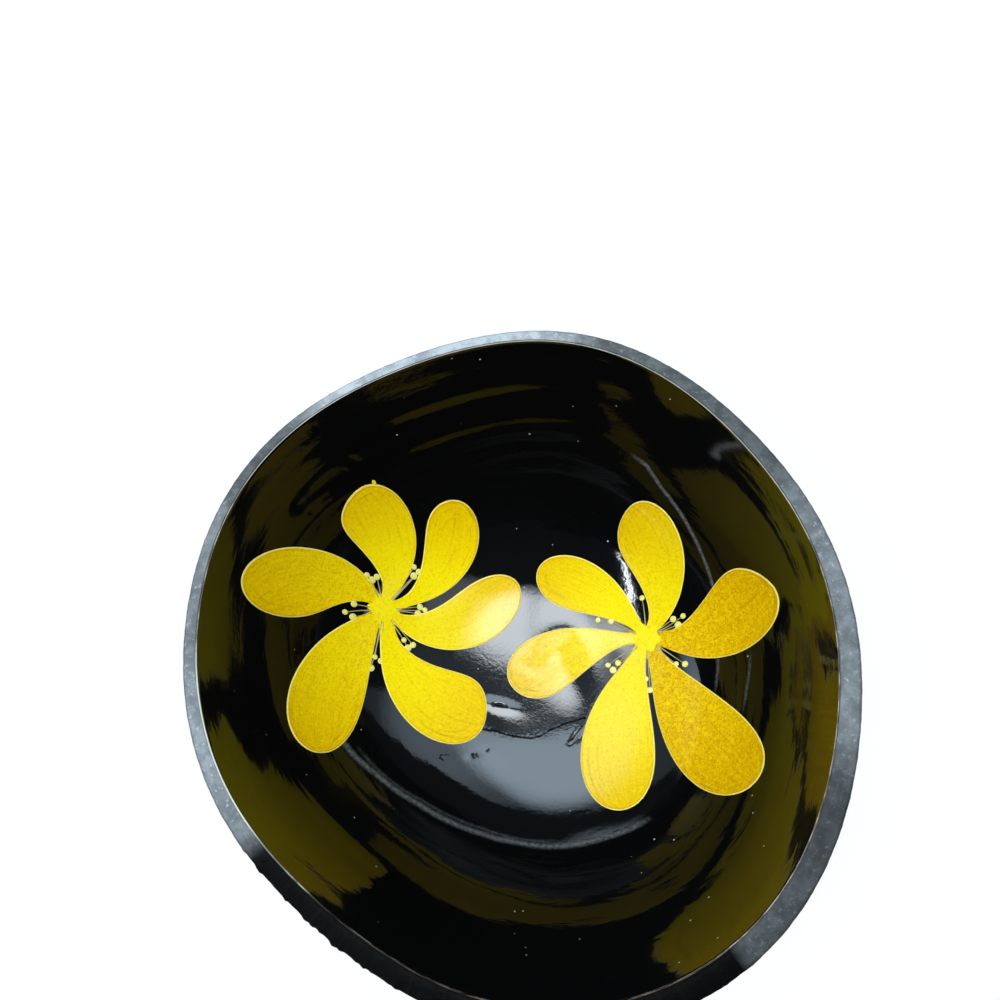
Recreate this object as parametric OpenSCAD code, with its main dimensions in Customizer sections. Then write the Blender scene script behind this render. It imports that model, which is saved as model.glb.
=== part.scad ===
// Half a coconut shell made into a small bowl: the mouth is ground level, the base is ground
// flat, the hollow is coated with black gloss lacquer and painted with two gold flowers, and
// the rim and the outside carry a thin dark polish.
// X is to the right and Y to the back as one looks into the bowl, and Z is up. The origin is
// the centre of the flat base.

/* [Mouth] */
// Mean inner radius of the mouth, at the lacquer's lip
mouth_r = 62.5; // [54:0.5:72]
// Height of the rim above the table
bowl_h = 59; // [50:0.5:66]
// How far round its arc the wall runs from the floor to the mouth
wall_arc = 46; // [40:1:60]
// Fullness of the belly: 1 is an ellipse, and more makes the floor flatter
belly = 1.73; // [1:0.01:2]
// How far the mouth's centre lies to the right of the base's centre
lean_x = -2.5; // [-6:0.5:6]
// How far the mouth's centre lies in front of the base's centre
lean_y = -1; // [-6:0.5:6]

/* [Wall] */
// Thickness of the natural shell at the mouth, on average
shell_t = 3.3; // [2.6:0.1:4.2]
// How much thicker the shell is on its thick side, and thinner on the other
shell_swell = 1.7; // [0:0.1:2]
// Direction of the thick side, from +X
swell_side = -60; // [-90:5:0]
// Radius of the flat ground on the base
foot_r = 20; // [16:0.5:21]

/* [Coats] */
// Thickness of the lacquer in the hollow
lacquer_t = 0.35; // [0.25:0.05:0.6]
// Thickness of the polish on the rim and the outside
polish_t = 0.15; // [0.1:0.05:0.3]

/* [Germ pore] */
// Length of the raised scar that the germ pore leaves on the floor
pore_l = 17; // [12:0.5:24]
// Width of the scar
pore_w = 14; // [10:0.5:18]
// Height of the scar
pore_h = 0.7; // [0.4:0.1:1.2]
// Place of the scar to the right of the base's centre
pore_x = 2.5; // [-6:0.5:6]
// Place of the scar behind the base's centre
pore_y = 8; // [4:0.5:12]

/* [Flowers] */
// Length of a full petal, seen from above, as a share of the mouth's radius
petal_length_share = 0.48; // [0.4:0.01:0.5]
// Greatest width of a full petal, as a share of the mouth's radius
petal_width_share = 0.24; // [0.18:0.01:0.25]
// Thickness of the paint
paint_t = 0.15; // [0.1:0.05:0.3]
// Radius of the dot of paint at a flower's centre
heart_r = 1.1; // [0.6:0.1:1.4]
// Radius of an anther's dot
anther_r = 0.5; // [0.4:0.05:0.6]
// Height of an anther's dot
anther_h = 0.3; // [0.2:0.05:0.5]
// Distance of the dots in a group from the group's centre
anther_gap = 0.8; // [0.7:0.05:1.1]
// Width of a painted filament
filament_w = 0.35; // [0.25:0.05:0.5]

/* [Hidden] */

// Waves round the mouth, one row each: waves in a turn, height as a share of the radius,
// and the direction of a crest
wave_shares = [[2, 0.037, -57], [3, 0.021, 56], [4, 0.003, 0], [5, 0.0045, 3], [6, 0.0057, 20]];
// How fast the waves fade towards the floor
fade = 1.2;
// The oval swelling half-way down the wall, as a share of the radius, and its direction
mid_share = 0.04;
mid_side = -10;
// Rings of the inner surface, as shares of the mouth's radius
inner_ring_shares = [0.06, 0.12, 0.18, 0.26, 0.36, 0.45, 0.53, 0.6, 0.67, 0.74, 0.81, 0.87, 0.92, 0.965, 1];
// Rings of the outer surface, as shares of the mouth's radius
outer_ring_shares = [1, 0.97, 0.93, 0.88, 0.82, 0.75, 0.67, 0.59, 0.51, 0.44, 0.37];
// The rim's crown: share of the way across, and share of the drop to its outer edge
crown_shares = [[0.12, 0.05], [0.32, 0.2], [0.55, 0.42], [0.75, 0.62], [0.9, 0.8]];
// Steps round the bowl
sides = 54;
turn = 360 / sides;

// The hollow is a part of an ellipsoid with its centre above the mouth. The foot's radius
// settles how much of the shell is ground away, and so how high the floor is.
wall_t = shell_t + lacquer_t;
foot_share = foot_r / mouth_r;
foot_lift = depth_share(foot_share);
floor_z = (wall_t - bowl_h * foot_lift) / (1 - foot_lift);
arc_h = (bowl_h - floor_z) / (1 - cos(wall_arc));
centre_z = floor_z + arc_h;
rim_z = bowl_h - polish_t;
lean = [lean_x, -lean_y];

// Half the scar's length and width, as the reach of a smooth mound
pore_reach = [pore_l / 2, pore_w / 2];
pore_place = [pore_x, pore_y];

// The flowers' centres, as shares of the mouth's radius
left_centre_shares = [-0.544, 0.288];
right_centre_shares = [0.368, 0.192];
// Petals: direction, length and width as shares of a full petal, how far it curls round, and
// the share of the length at which its left and its right side stand out most
left_petal_shares = [
    [126, 0.79, 0.85, 61, 0.69, 0.69],
    [68.5, 0.76, 0.94, 30, 0.78, 0.72],
    [17, 0.93, 0.76, 37.5, 0.78, 0.745],
    [-36, 0.965, 0.83, 50.5, 0.72, 0.68],
    [-83, 1.08, 1.07, 35, 0.79, 0.717],
    [-138, 1.12, 0.93, 28, 0.63, 0.66]
];
right_petal_shares = [
    [126, 0.93, 0.745, 23.5, 0.715, 0.706],
    [64, 0.9, 0.82, 34, 0.75, 0.63],
    [-3, 0.865, 1.065, 20.5, 0.786, 0.69],
    [-67, 1.29, 1.12, 9.5, 0.7, 0.706],
    [-121, 1.24, 1.08, 23.5, 0.667, 0.72],
    [177, 1.035, 0.88, 23, 0.736, 0.738]
];
// Steps along a petal, as shares of its length
petal_step_shares = [0, 0.12, 0.26, 0.42, 0.57, 0.7, 0.82, 0.91, 0.97, 0.995];
// Width of a petal's base, as a share of its width
base_share = 0.05;
// Groups of dots: direction, distance from the flower's centre as a share of a petal, dots
left_anther_shares = [
    [106, 0.283, 3],
    [46.5, 0.31, 2],
    [2, 0.24, 2],
    [-56, 0.277, 3],
    [-101, 0.3, 2],
    [187, 0.25, 3]
];
right_anther_shares = [
    [100, 0.293, 1],
    [30, 0.253, 3],
    [-37, 0.31, 3],
    [-89, 0.327, 2],
    [-146, 0.307, 3],
    [160, 0.333, 2]
];
// How far a group's two filaments stand apart
filament_spread = 4;
// Outline of a filament: share of its length, and share of its width on each side
filament_outline_shares = [[0.5, 0.7, 0.7], [0.75, 1, 1], [1, 0.8, 0.8]];
// Bare lacquer left round a flower's centre, as a share of a petal
centre_share = 0.06;
// Steps across a petal
petal_steps = 4;
// The lacquer's facets bow in from the true curve, and the paint lies clear of them
seat_share = 2.1;
paint_seat = seat_share * mouth_r * (1 - cos(turn / 2));
dot_sides = 10;

// The waves' share at a direction
function wave(angle) =
    [for (row = wave_shares) row[1] * cos(row[0] * (angle - row[2]))] * [for (row = wave_shares) 1];

// How far a section stands out: the waves fade to the floor, and the swelling is widest half-way
function wavy(angle, share) =
    1 + wave(angle) * pow(share, fade)
    + mid_share * 4 * share * (1 - share) * cos(2 * (angle - mid_side));

// The ellipsoid's height under its centre, the share of the hollow's depth that it has
// climbed, and its slope, each at a share of the mouth's radius
function under(share) = sqrt(1 - pow(sin(wall_arc) * pow(share, belly), 2));
function depth_share(share) = (1 - under(share)) / (1 - cos(wall_arc));
function slope(share) =
    arc_h * belly * pow(sin(wall_arc), 2) * pow(share, 2 * belly - 1) / under(share) / mouth_r;

// The share of the mouth's radius at which a section passes under a place
function share_at(place, tries = 6, guess = 0.6) =
    let (off = place - lean * guess * guess)
    tries == 0
        ? guess
        : share_at(place, tries - 1, norm(off) / mouth_r / wavy(atan2(off[1], off[0]), guess));

function bearing(angle) = [cos(angle), sin(angle)];
function unit(v) = v / norm(v);

// The mound that the germ pore leaves
function pore_z(place) =
    let (away = place - pore_place)
    pore_h * exp(-pow(away[0] / pore_reach[0], 2) - pow(away[1] / pore_reach[1], 2));

// A point of the hollow's surface, sunk into the wall by a depth
function wall_point(angle, share, depth = 0) =
    let (
        out = unit([slope(share), 1]),
        flat = lean * share * share + bearing(angle) * mouth_r * share * wavy(angle, share),
        place = flat + bearing(angle) * depth * out[0]
    )
    [place[0], place[1], centre_z - arc_h * under(share) - depth * out[1]];

function inner_point(angle, share, depth = 0) =
    let (place = wall_point(angle, share, depth))
    [place[0], place[1], place[2] + pore_z([place[0], place[1]])];

// A point of the shell's outside, raised by a coat
function outer_point(angle, share, coat = 0) =
    let (
        swell = shell_swell * cos(angle - swell_side) * (share - foot_share) / (1 - foot_share)
    )
    wall_point(angle, share, wall_t + swell + coat);

// A point of the rim's crown, raised by a coat
function crown_point(angle, row, coat = 0) =
    let (
        inside = inner_point(angle, 1, lacquer_t),
        outside = outer_point(angle, 1),
        place = inside + (outside - inside) * row[0],
        lift = unit([row[0] * row[0], 1]),
        flat = bearing(angle) * coat * lift[0]
    )
    [
        place[0] + flat[0],
        place[1] + flat[1],
        rim_z - (rim_z - outside[2]) * row[1] + coat * lift[1]
    ];

// A triangle of a four-cornered face. From the back ring on, the rows run the other way, and
// the face is split so that it lies flat on the one under it.
function half_face(a, b, c, d, half, flipped) =
    flipped
        ? (half == 0 ? [a, b, d] : [a, d, c])
        : (half == 0 ? [a, b, c] : [b, d, c]);

// Faces of a closed body whose rings run from a first pole to a last one
function turned_faces(rings, back) =
    let (last = rings * sides)
    concat(
        [for (s = [0 : sides - 1]) [0, 1 + (s + 1) % sides, 1 + s]],
        [
            for (k = [0 : rings - 2], s = [0 : sides - 1], half = [0, 1])
            let (
                a = 1 + k * sides + s,
                b = 1 + k * sides + (s + 1) % sides,
                c = a + sides,
                d = b + sides
            )
            half_face(a, b, c, d, half, k >= back)
        ],
        [for (s = [0 : sides - 1]) [last + 1, last - sides + 1 + s, last - sides + 1 + (s + 1) % sides]]
    );

// Faces of a closed body whose rings run round a hoop and back to the first
function hoop_faces(rings, back) = [
    for (k = [0 : rings - 1], s = [0 : sides - 1], half = [0, 1])
    let (
        next = (k + 1) % rings,
        a = k * sides + s,
        b = k * sides + (s + 1) % sides,
        c = next * sides + s,
        d = next * sides + (s + 1) % sides
    )
    half_face(a, b, c, d, half, k >= back)
];

function flat_list(rows) = [for (row = rows, point = row) point];

module turned_body(first, rows, last, back) {
    polyhedron(concat([first], flat_list(rows), [last]), turned_faces(len(rows), back));
}

module coconut_shell() {
    seat_rows = [
        for (share = inner_ring_shares)
        [for (s = [0 : sides - 1]) inner_point(s * turn, share, lacquer_t)]
    ];
    crown_rows = [for (row = crown_shares) [for (s = [0 : sides - 1]) crown_point(s * turn, row)]];
    outer_rows = [
        for (share = outer_ring_shares)
        [for (s = [0 : sides - 1]) outer_point(s * turn, share)]
    ];
    foot_row = [for (s = [0 : sides - 1]) concat(bearing(s * turn) * foot_r, [0])];
    color([0.2, 0.14, 0.1])
    turned_body(
        inner_point(0, 0, lacquer_t),
        concat(seat_rows, crown_rows, outer_rows, [foot_row]),
        [0, 0, 0],
        len(concat(seat_rows, crown_rows, outer_rows, [foot_row]))
    );
}

// The lip is a small bead that stands as high as the rim
lip_share = 0.4;
function lip_point(angle) =
    let (
        inside = inner_point(angle, 1),
        flat = bearing(angle) * lacquer_t * lip_share
    )
    [inside[0] + flat[0], inside[1] + flat[1], bowl_h + lacquer_t * lip_share];

module inner_lacquer() {
    gloss_rows = [for (share = inner_ring_shares) [for (s = [0 : sides - 1]) inner_point(s * turn, share)]];
    lip_rows = [[for (s = [0 : sides - 1]) lip_point(s * turn)]];
    seat_rows = [
        for (k = [len(inner_ring_shares) - 1 : -1 : 0])
        [for (s = [0 : sides - 1]) inner_point(s * turn, inner_ring_shares[k], lacquer_t)]
    ];
    color([0.03, 0.03, 0.03])
    turned_body(
        inner_point(0, 0),
        concat(gloss_rows, lip_rows, seat_rows),
        inner_point(0, 0, lacquer_t),
        len(concat(gloss_rows, lip_rows))
    );
}

module outer_polish() {
    under_rows = concat(
        [for (row = crown_shares) [for (s = [0 : sides - 1]) crown_point(s * turn, row)]],
        [for (share = outer_ring_shares) [for (s = [0 : sides - 1]) outer_point(s * turn, share)]]
    );
    over_rows = concat(
        [for (row = crown_shares) [for (s = [0 : sides - 1]) crown_point(s * turn, row, polish_t)]],
        [for (share = outer_ring_shares) [for (s = [0 : sides - 1]) outer_point(s * turn, share, polish_t)]]
    );
    rings = len(under_rows);
    color([0.1, 0.1, 0.11])
    polyhedron(
        flat_list(concat(over_rows, [for (k = [rings - 1 : -1 : 0]) under_rows[k]])),
        hoop_faces(rings * 2, rings)
    );
}

// The lacquer's surface at a place seen from above, raised by a height along its normal
function lacquer_point(place, height) =
    let (
        share = share_at(place),
        off = unit(place - lean * share * share),
        up = unit([-off[0] * slope(share), -off[1] * slope(share), 1])
    )
    [place[0], place[1], centre_z - arc_h * under(share) + pore_z(place)] + up * height;

// How far a petal's side stands out at a share of its length, as a share of its width
function bulge(share, peak) =
    max(
        pow(share / peak, peak / (1 - peak) / 2) * sqrt((1 - share) / (1 - peak)),
        base_share * (1 - share)
    );

// A point of a painted leaf shape that grows from a centre: its row holds the direction, the
// length, the width and the curl
function leaf_place(centre, row, outline, across) =
    let (
        heading = row[0] + row[3] * outline[0],
        tilt = atan(row[3] * outline[0] * PI / 180),
        middle = centre + bearing(heading) * row[1] * (centre_share + (1 - centre_share) * outline[0]),
        side = bearing(heading + tilt + 90),
        reach = row[2] / 2 * (across > 0 ? outline[1] : outline[2])
    )
    middle + side * across * reach;

// One leaf of paint on the lacquer
module leaf(centre, row, outline, steps) {
    rows = len(outline);
    wide = steps + 1;
    count = rows * wide;
    places = [
        for (k = [0 : rows - 1], t = [0 : steps])
        leaf_place(centre, row, outline[k], 2 * t / steps - 1)
    ];
    points = [
        for (height = [paint_seat + paint_t, paint_seat], place = places)
        lacquer_point(place, height)
    ];
    grid = [for (k = [0 : rows - 2], t = [0 : steps - 1]) k * wide + t];
    edge = concat(
        [for (t = [0 : steps - 1]) t],
        [for (k = [0 : rows - 2]) k * wide + steps],
        [for (t = [steps : -1 : 1]) (rows - 1) * wide + t],
        [for (k = [rows - 1 : -1 : 1]) k * wide]
    );
    faces = concat(
        [for (a = grid) [a, a + 1, a + wide]],
        [for (a = grid) [a + 1, a + wide + 1, a + wide]],
        [for (a = grid) [count + a, count + a + wide, count + a + 1]],
        [for (a = grid) [count + a + 1, count + a + wide, count + a + wide + 1]],
        [
            for (k = [0 : len(edge) - 1])
            let (a = edge[k], b = edge[(k + 1) % len(edge)])
            [a, count + a, b]
        ],
        [
            for (k = [0 : len(edge) - 1])
            let (a = edge[k], b = edge[(k + 1) % len(edge)])
            [b, count + a, count + b]
        ]
    );
    polyhedron(points, faces);
}

module petals(centre, petal_shares) {
    for (row = petal_shares) {
        outline = [for (share = petal_step_shares) [share, bulge(share, row[4]), bulge(share, row[5])]];
        leaf(centre, [row[0], row[1] * petal_l, row[2] * petal_w, row[3]], outline, petal_steps);
    }
    dot(centre, heart_r);
}

// One dot of paint, square to the lacquer
module dot(place, radius) {
    foot = lacquer_point(place, paint_seat);
    up = lacquer_point(place, paint_seat + 1) - foot;
    translate(foot)
    rotate([0, acos(up[2]), atan2(up[1], up[0])])
    cylinder(h = anther_h, r = radius, $fn = dot_sides);
}

module stamens(centre, anther_shares) {
    for (row = anther_shares) {
        place = centre + bearing(row[0]) * row[1] * petal_l;
        for (k = [0 : row[2] - 1])
            dot(place + bearing(row[0] + k * 360 / row[2]) * (row[2] > 1 ? anther_gap : 0), anther_r);
        reach = row[1] * petal_l - anther_gap - anther_r * 2;
        for (side = row[2] > 1 ? [-1, 1] : [0])
            leaf(centre, [row[0] + side * filament_spread, reach, filament_w, 0], filament_outline_shares, 1);
    }
}

left_centre = left_centre_shares * mouth_r;
right_centre = right_centre_shares * mouth_r;
petal_l = petal_length_share * mouth_r;
petal_w = petal_width_share * mouth_r;

module left_flower_petals() {
    color([0.85, 0.68, 0.08])
    petals(left_centre, left_petal_shares);
}

module left_flower_stamens() {
    color([0.93, 0.85, 0.4])
    stamens(left_centre, left_anther_shares);
}

module right_flower_petals() {
    color([0.85, 0.68, 0.08])
    petals(right_centre, right_petal_shares);
}

module right_flower_stamens() {
    color([0.93, 0.85, 0.4])
    stamens(right_centre, right_anther_shares);
}

coconut_shell();
inner_lacquer();
outer_polish();
left_flower_petals();
left_flower_stamens();
right_flower_petals();
right_flower_stamens();
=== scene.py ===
import bpy
import numpy as np
from mathutils import Matrix, Vector


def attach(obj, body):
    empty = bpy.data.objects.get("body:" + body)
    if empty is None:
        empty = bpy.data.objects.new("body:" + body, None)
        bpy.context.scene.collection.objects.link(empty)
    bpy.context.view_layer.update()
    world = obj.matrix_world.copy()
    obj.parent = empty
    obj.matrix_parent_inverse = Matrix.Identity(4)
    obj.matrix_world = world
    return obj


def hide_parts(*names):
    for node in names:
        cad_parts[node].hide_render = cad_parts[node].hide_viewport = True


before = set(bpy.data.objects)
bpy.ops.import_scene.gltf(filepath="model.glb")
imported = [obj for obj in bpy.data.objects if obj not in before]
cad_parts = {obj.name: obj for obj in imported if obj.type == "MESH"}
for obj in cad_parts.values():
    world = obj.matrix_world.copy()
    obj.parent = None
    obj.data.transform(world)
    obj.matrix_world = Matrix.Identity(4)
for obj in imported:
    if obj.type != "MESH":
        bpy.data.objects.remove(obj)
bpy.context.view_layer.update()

mm = 0.001

# The view looks almost straight down, and leans a little to the front
view = {
    "aim": (-1.8, -0.9, 59.0),  # place in the mouth's plane, in mm
    "pixel": (524, 673),  # where the frame shows that place
    "lean": (0.036, -0.1),  # to the right and to the back, for each unit up
    "distance": 400,
    "frame": 1000,  # the frame's width and height, in pixels
    "focal": 2080,  # in the same pixels
    "sensor": 36,
}


# The camera stands off the aim along the lean, then turns until the aim falls on its pixel:
# its place, and its directions to the right, up and back
def cameraFrame(settings):
    aim = Vector(settings["aim"])
    away = Vector((*settings["lean"], 1)).normalized()
    right = Vector((0, 1, 0)).cross(away).normalized()
    offX, offY = [(at - settings["frame"] / 2) / settings["focal"] for at in settings["pixel"]]
    behind = (away + right * offX - away.cross(right) * offY).normalized()
    right = Vector((0, 1, 0)).cross(behind).normalized()
    return aim + away * settings["distance"], right, behind.cross(right), behind


# The camera's lens in mm is its sensor's width times the focal length over the frame's width
def makeCamera(settings):
    place, right, top, behind = cameraFrame(settings)
    data = bpy.data.cameras.new("camera")
    data.sensor_width = settings["sensor"]
    data.lens = settings["sensor"] * settings["focal"] / settings["frame"]
    data.clip_start = 0.01
    camera = bpy.data.objects.new("camera", data)
    turned = Matrix((right, top, behind)).transposed().to_4x4()
    camera.matrix_world = Matrix.Translation(place * mm) @ turned
    bpy.context.scene.collection.objects.link(camera)
    bpy.context.scene.camera = camera


makeCamera(view)
bpy.context.scene.view_settings.view_transform = "Standard"
print("scene: camera")

# The half shell's shape, in mm and degrees, as the solids have it
bowl = {
    "mouth": 62.5,  # mean radius of the hollow at the rim
    "height": 59.0,
    "arc": 46,  # part of the ellipsoid that the section covers
    "belly": 1.73,  # how square the section is: 1 is an ellipsoid
    "lean": (-2.5, 1.0),  # how far the mouth is off the base's centre
    "shell": 3.3,
    "swell": 1.7,  # how much thicker the wall grows towards one side, and that side
    "swellSide": -60,
    "foot": 20,  # radius of the flat base
    "lacquer": 0.35,
    "polish": 0.15,
    # the mouth's outline: waves in a turn, their size and the side where they are highest
    "waves": [(2, 0.037, -57), (3, 0.021, 56), (4, 0.003, 0), (5, 0.0045, 3), (6, 0.0057, 20)],
    "fade": 1.2,  # power of the share by which the waves fade to the floor
    "midWave": 0.04,
    "midSide": -10,
    "run": 92.0,  # way from the middle of the floor up the wall to the rim
}
arc = np.radians(bowl["arc"])
wall = bowl["shell"] + bowl["lacquer"]
footShare = bowl["foot"] / bowl["mouth"]


# How far a section stands out: waves round the mouth that fade to the floor, and an oval
# swelling half-way down
def sectionWave(angle, share):
    high = sum(
        size * np.cos(count * (angle - np.radians(side))) for count, size, side in bowl["waves"]
    )
    mid = bowl["midWave"] * np.cos(2 * (angle - np.radians(bowl["midSide"])))
    return 1 + high * share ** bowl["fade"] + mid * 4 * share * (1 - share)


# Height under the ellipsoid's centre as a share: the root of 1 less the squared sine share
def under(share):
    return np.sqrt(1 - (np.sin(arc) * share ** bowl["belly"]) ** 2)


# Depth of the section at a share: 0 at the pole and 1 at the rim
def depthShare(share):
    return (1 - under(share)) / (1 - np.cos(arc))


footLift = depthShare(footShare)
floorZ = (wall - bowl["height"] * footLift) / (1 - footLift)
arcHeight = (bowl["height"] - floorZ) / (1 - np.cos(arc))
centreZ = floorZ + arcHeight
rimZ = bowl["height"] - bowl["polish"]


# Rise over run of the section at a share of the mouth's radius
def slope(share):
    steep = arcHeight * bowl["belly"] * np.sin(arc) ** 2
    return steep * share ** (2 * bowl["belly"] - 1) / under(share) / bowl["mouth"]


# A point of the hollow's surface, sunk into the wall by a depth along the section's normal
def wallPoint(angle, share, depth=0.0):
    rise = slope(share)
    size = np.sqrt(rise ** 2 + 1)
    radius = bowl["mouth"] * share * sectionWave(angle, share) + depth * rise / size
    x = bowl["lean"][0] * share ** 2 + radius * np.cos(angle)
    y = bowl["lean"][1] * share ** 2 + radius * np.sin(angle)
    z = centreZ - arcHeight * under(share) - depth / size
    return np.stack(np.broadcast_arrays(x, y, z), -1)


# The share at which a section passes under a place: each time round, the share and the angle
# seen from the centre of the section at the last share
def shareAt(x, y):
    share = np.full_like(x, 0.6)
    for step in range(8):
        offX = x - bowl["lean"][0] * share ** 2
        offY = y - bowl["lean"][1] * share ** 2
        angle = np.arctan2(offY, offX)
        share = np.hypot(offX, offY) / bowl["mouth"] / sectionWave(angle, share)
    return share, angle


# The germ pore's scar: a low uneven mound with a hollow in front of it, a slit beside it, and
# beads and marks in the lacquer
pore = {
    "mound": (5.0, 9.0, 3.9, 5.7, 22.6, 0.36),  # place, length and width, turn, height
    "details": [  # the same for the dimples round it, the slit and the beads
        (-8.9, -2.5, 3.4, 1.14, -14.5, 0.184),
        (-9.8, -11.7, 9.6, 7.4, -2.4, -0.24),
        (3.25, 4.8, 7.6, 4.0, -52.6, 0.32),
        (-2.0, 5.9, 2.95, 1.2, -25, 0.063),
        (3.0, 10.1, 1.9, 3.9, -43.5, 0.233),
        (-4.8, 17.3, 8.4, 5.0, 79.6, 0.314),
        (-9.2, -2.2, 1.1, 0.36, -10, -0.24),
        (7.1, -9.4, 2.2, 0.5, 52, -0.1),
        (8.0, -9.6, 1.8, 0.5, 48, 0.06),
        (-21.0, -13.4, 1.3, 0.75, -8, 0.1),
        (-21.4, -13.3, 0.6, 0.4, 10, -0.09),
        (-15.0, -13.4, 1.25, 0.7, 12, 0.1),
        (-14.8, -13.4, 0.6, 0.35, 0, -0.09),
        (-11.9, -12.0, 0.5, 0.35, 60, 0.08),
        (-23.0, -26.2, 1.8, 0.8, -40, 0.09),
        (-46.9, 35.0, 1.9, 0.7, -25, 0.3),
        (-46.2, 34.4, 1.4, 0.4, -25, -0.3),
        (-38.3, 45.0, 1.9, 0.7, -15, 0.3),
        (-38.0, 44.3, 1.4, 0.4, -15, -0.3),
    ],
}


# One smooth bump: its height times e to the minus the squared distance, counted in its lengths
def bump(x, y, row):
    atX, atY, long, wide, turn, height = row
    cos, sin = np.cos(np.radians(turn)), np.sin(np.radians(turn))
    along = ((x - atX) * cos + (y - atY) * sin) / long
    across = ((y - atY) * cos - (x - atX) * sin) / wide
    return height * np.exp(-along ** 2 - across ** 2)


# How far the scar lifts the surface over a place: the sum of its bumps
def poreLift(x, y):
    return sum(bump(x, y, row) for row in [pore["mound"]] + pore["details"])


# Unevenness of the lacquer along its normal, in mm
ripples = {
    "rings": [(0.016, 11.5, 0.4), (0.013, 7.6, 2.0), (0.007, 5.1, 4.1)],  # height, spacing, phase
    "wander": [(2, 1.1, 0.5), (3, 0.8, 2.1), (5, 0.45, 4.0)],  # waves in a turn, swing, phase
    "dents": [(0.022, 5, 17.0, 0.3), (0.018, 8, 12.5, 2.4), (0.013, 13, 9.0, 5.2)],
    # deeper rings in parts of the wall: height, spacing, phase, stretches round the mouth, shares
    "deeper": [
        (0.11, 6.6, 0.6, [(112, 34, 30, 1)], (0.79, 0.96)),
        (0.06, 9.0, 2.0, [(238, 24, 24, 1)], (0.66, 0.93)),
    ],
}


# Rings left by polishing, whose phase wanders round the bowl, and slow dents, each a sum of
# sines; both fade out at the floor and at the rim, and deeper rings are added in their places
def unevenness(angle, share):
    run = bowl["run"] * share
    phase = sum(swing * np.sin(count * angle + start) for count, swing, start in ripples["wander"])
    rings = sum(
        height * np.sin(2 * np.pi * run / spacing + start + phase * (0.6 + 0.4 * k))
        for k, (height, spacing, start) in enumerate(ripples["rings"])
    )
    dents = sum(
        height * np.sin(count * angle + start) * np.sin(2 * np.pi * run / spacing + 2 * start)
        for height, count, spacing, start in ripples["dents"]
    )
    deeper = 0
    for height, spacing, start, parts, (first, last) in ripples["deeper"]:
        inside = np.clip((share - first) / 0.06, 0, 1) * np.clip((last - share) / 0.04, 0, 1)
        turn = 2 * np.pi * run / spacing + start + phase
        deeper = deeper + height * np.sin(turn) * stretches(angle, parts) * inside
    ease = np.clip((share - 0.3) / 0.35, 0, 1) * np.clip((1 - share) / 0.03, 0, 1)
    return (rings + dents) * ease + deeper


# Sum of the levels of stretches round the mouth, each smooth at its ends: a row holds its middle,
# half width and softness in degrees, and its level
def stretches(angle, rows):
    total = angle * 0
    for middle, half, soft, level in rows:
        off = np.abs((np.degrees(angle) - middle + 180) % 360 - 180)
        part = np.clip((half + soft / 2 - off) / soft, 0, 1)
        total = total + level * part ** 2 * (3 - 2 * part)
    return total


# The gloss surface at an angle and a share, raised along its normal
def glossPoint(angle, share):
    point = wallPoint(angle, share, -unevenness(angle, share))
    lift = poreLift(point[..., 0], point[..., 1])
    return point + np.stack([lift * 0, lift * 0, lift], -1)


# The gloss surface over a place seen from above, raised by a height along its normal
def glossOver(x, y, height):
    share, angle = shareAt(x, y)
    rise = slope(share)
    normal = np.stack([-rise * np.cos(angle), -rise * np.sin(angle), np.ones_like(rise)], -1)
    normal /= np.linalg.norm(normal, axis=-1, keepdims=True)
    z = centreZ - arcHeight * under(share) + poreLift(x, y)
    place = np.stack([x, y, z], -1)
    return place + normal * (height + unevenness(angle, share))[..., None]


# A mesh from points in mm and faces, with its attributes and one material
def makePiece(name, points, faces, material, values=None):
    mesh = bpy.data.meshes.new(name)
    mesh.from_pydata(np.asarray(points, float) * mm, [], faces, shade_flat=False)
    for key, numbers in (values or {}).items():
        kind = "FLOAT_VECTOR" if np.ndim(numbers) == 2 else "FLOAT"
        field = mesh.attributes.new(key, kind, "POINT")
        field.data.foreach_set("vector" if np.ndim(numbers) == 2 else "value", np.ravel(numbers))
    mesh.update()
    piece = bpy.data.objects.new(name, mesh)
    bpy.context.scene.collection.objects.link(piece)
    mesh.materials.append(material)
    print("scene:", name, len(mesh.vertices), "points", len(mesh.polygons), "faces")
    return piece


# Faces of a grid whose rows are closed rings; they face up where the rings grow
def ringFaces(rings, sides, hoop=False):
    k, s = np.meshgrid(np.arange(rings if hoop else rings - 1), np.arange(sides), indexing="ij")
    follow = ((k + 1) % rings) * sides
    ahead = (s + 1) % sides
    faces = np.stack([k * sides + s, follow + s, follow + ahead, k * sides + ahead], -1)
    return faces.reshape(-1, 4).tolist()


# The same with a point at each end, so that rings out over a form and back under it close it
def lensFaces(rings, sides):
    around = np.arange(sides)
    ahead = (around + 1) % sides
    pole = np.full(sides, rings * sides)
    end = (rings - 1) * sides
    top = np.stack([pole, around, ahead], -1).tolist()
    low = np.stack([pole + 1, end + ahead, end + around], -1).tolist()
    return ringFaces(rings, sides) + top + low


# Faces of an open grid and of the same grid under it, with a wall round their edge
def sheetFaces(rows, columns):
    k, t = np.meshgrid(np.arange(rows - 1), np.arange(columns - 1), indexing="ij")
    a = (k * columns + t).ravel()
    top = np.stack([a, a + columns, a + columns + 1, a + 1], -1)
    count = rows * columns
    low = top[:, ::-1] + count
    edge = np.concatenate([
        np.arange(columns - 1),
        np.arange(rows - 1) * columns + columns - 1,
        np.arange(columns - 1, 0, -1) + (rows - 1) * columns,
        np.arange(rows - 1, 0, -1) * columns,
    ])
    follow = np.roll(edge, -1)
    side = np.stack([edge, follow, follow + count, edge + count], -1)
    return np.concatenate([top, low, side]).tolist()


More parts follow.
